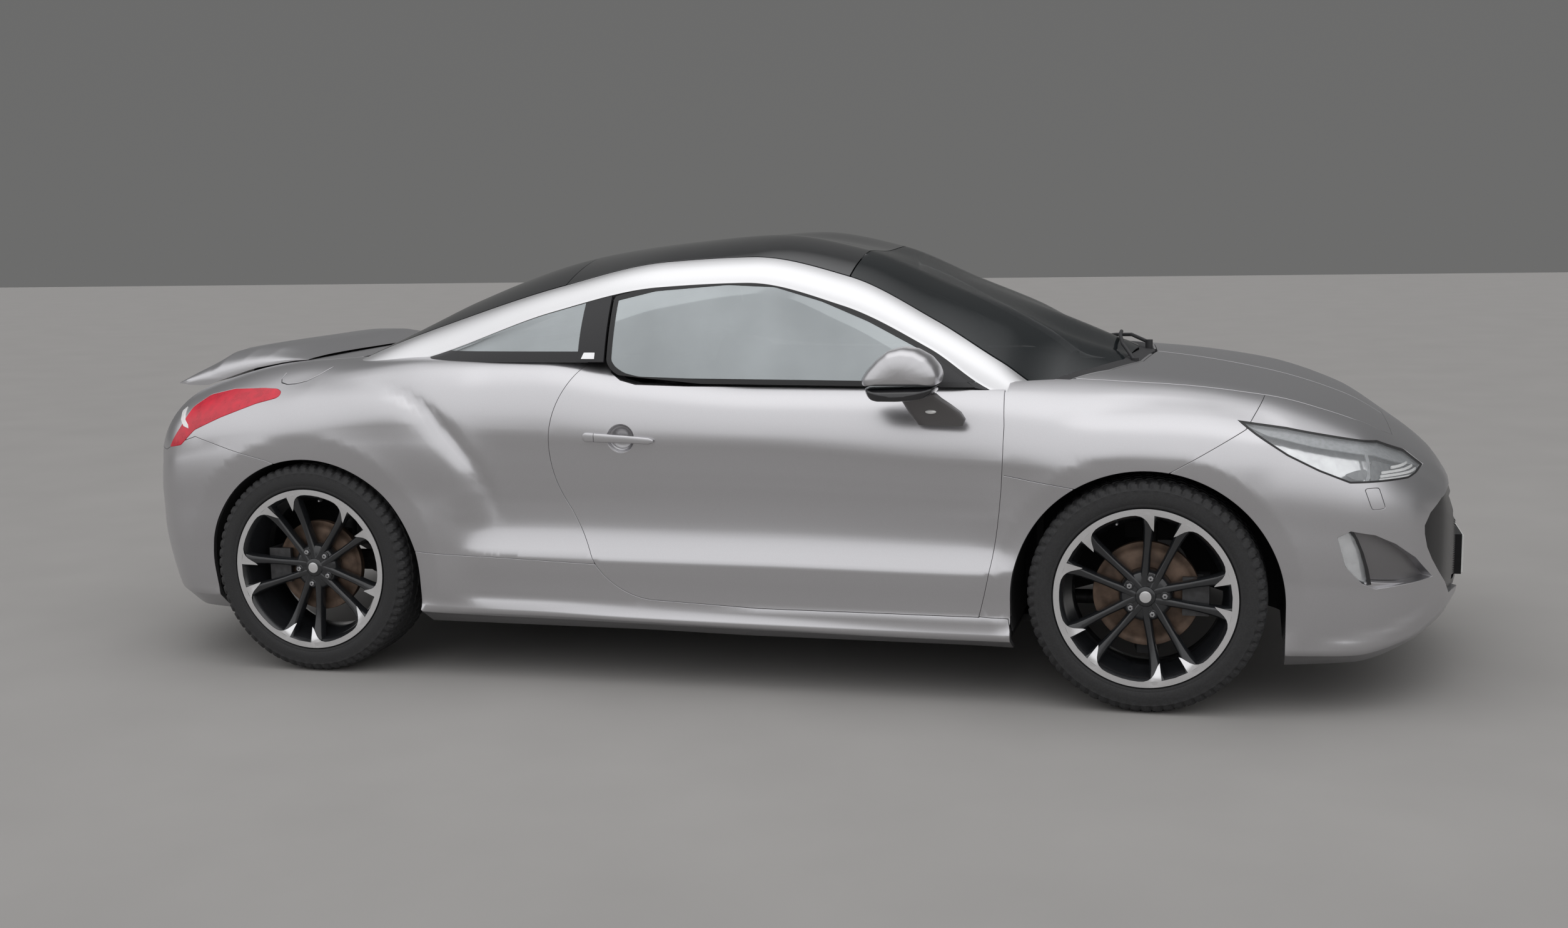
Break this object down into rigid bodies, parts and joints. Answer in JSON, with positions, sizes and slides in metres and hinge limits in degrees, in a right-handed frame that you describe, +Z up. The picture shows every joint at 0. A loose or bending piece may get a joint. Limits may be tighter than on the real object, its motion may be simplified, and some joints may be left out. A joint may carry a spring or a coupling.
{
  "type": "coupe car",
  "caption": "Low two-door coupe car with arched silver roof rails, flared wheel arches, twin-spoke wheels, opening doors, bonnet and tailgate, and steered front wheels.",
  "frame": {"origin": "on the ground under the middle of the overall length and width", "axes": "+X forwards, +Y to the car's left, +Z up"},
  "size_m": [4.287, 2.072, 1.359],
  "materials": {
    "body_paint": "satin grey metallic paint",
    "silver_trim": "bright satin silver",
    "black_gloss": "gloss black",
    "black_trim": "matt black",
    "side_glass": "dark tinted glass",
    "screen_glass": "lightly tinted glass",
    "lamp_clear": "clear lamp cover",
    "lamp_red": "red lamp cover",
    "plate_white": "blank plate",
    "interior": "dark leather",
    "cabin_trim": "dark grained plastic",
    "steel_black": "black coated steel",
    "engine_alloy": "cast alloy",
    "tyre": "black rubber",
    "wheel": "black painted alloy with a machined lip",
    "exhaust": "brushed steel"
  },
  "bodies": {
    "car": {"floor_pan": "steel_black", "sills": "body_paint", "rear_quarters": "body_paint", "front_wings": "body_paint", "front_bumper": "body_paint", "grille": "black_gloss", "rear_bumper": "body_paint", "roof_arches": "silver_trim", "door_pillars": "black_trim", "roof_panel": "black_gloss", "windscreen": "screen_glass", "quarter_windows": "side_glass", "cowl": "black_trim", "headlamps": "lamp_clear", "tail_lamps": "lamp_red", "fog_lamps": "lamp_clear", "number_plates": "plate_white", "dashboard": "cabin_trim", "seats": "interior", "engine_block": "engine_alloy", "front_frame": "steel_black", "wheel_liners": "black_trim", "rear_axle": "steel_black", "exhaust": "exhaust"},
    "door_right": {"door_panel_right": "body_paint", "door_glass_right": "side_glass", "mirror_right": "body_paint"},
    "door_left": {"door_panel_left": "body_paint", "door_glass_left": "side_glass", "mirror_left": "body_paint"},
    "bonnet_lid": {"bonnet": "body_paint"},
    "tailgate": {"boot_lid": "body_paint", "rear_window": "side_glass", "spoiler": "body_paint", "tailgate_arms": "steel_black"},
    "steering": {"steering_wheel": "interior"},
    "knuckle_body_right": {"knuckle_right": "steel_black"},
    "knuckle_body_left": {"knuckle_left": "steel_black"},
    "wheel_front_right": {"tyre_front_right": "tyre", "rim_front_right": "wheel"},
    "wheel_front_left": {"tyre_front_left": "tyre", "rim_front_left": "wheel"},
    "wheel_rear_right": {"tyre_rear_right": "tyre", "rim_rear_right": "wheel"},
    "wheel_rear_left": {"tyre_rear_left": "tyre", "rim_rear_left": "wheel"}
  },
  "joints": [
    {"name": "door_right_hinge", "type": "hinge", "parent": "car", "child": "door_right", "pos_m": [0.835, -0.905, 0.6], "axis": [0, 0, 1], "range_deg": [0, 65]},
    {"name": "door_left_hinge", "type": "hinge", "parent": "car", "child": "door_left", "pos_m": [0.835, 0.905, 0.6], "axis": [0, 0, -1], "range_deg": [0, 65]},
    {"name": "bonnet_hinge", "type": "hinge", "parent": "car", "child": "bonnet_lid", "pos_m": [1.006, 0, 0.98], "axis": [0, -1, 0], "range_deg": [0, 50]},
    {"name": "tailgate_hinge", "type": "hinge", "parent": "car", "child": "tailgate", "pos_m": [-0.5, 0, 1.19], "axis": [0, 1, 0], "range_deg": [0, 55]},
    {"name": "steering_wheel_turn", "type": "hinge", "parent": "car", "child": "steering", "pos_m": [0.52, 0.37, 0.8], "axis": [-0.9135, 0, 0.4067], "range_deg": [-465, 465]},
    {"name": "steer_right", "type": "hinge", "parent": "car", "child": "knuckle_body_right", "pos_m": [1.234, -0.76, 0.19], "axis": [0, 0.2212, 0.9752], "range_deg": [-32, 32]},
    {"name": "steer_left", "type": "hinge", "parent": "car", "child": "knuckle_body_left", "pos_m": [1.234, 0.76, 0.19], "axis": [0, -0.2212, 0.9752], "range_deg": [-32, 32]},
    {"name": "wheel_front_right_spin", "type": "hinge", "parent": "knuckle_body_right", "child": "wheel_front_right", "pos_m": [1.234, -0.79, 0.335], "axis": [0, 1, 0], "continuous": true},
    {"name": "wheel_front_left_spin", "type": "hinge", "parent": "knuckle_body_left", "child": "wheel_front_left", "pos_m": [1.234, 0.79, 0.335], "axis": [0, 1, 0], "continuous": true},
    {"name": "wheel_rear_right_spin", "type": "hinge", "parent": "car", "child": "wheel_rear_right", "pos_m": [-1.378, -0.7965, 0.335], "axis": [0, 1, 0], "continuous": true},
    {"name": "wheel_rear_left_spin", "type": "hinge", "parent": "car", "child": "wheel_rear_left", "pos_m": [-1.378, 0.7965, 0.335], "axis": [0, 1, 0], "continuous": true}
  ],
  "couplings": [
    {"joint": "steer_left", "follows": "steer_right", "ratio": 1},
    {"joint": "steering_wheel_turn", "follows": "steer_right", "ratio": 14.5}
  ]
}
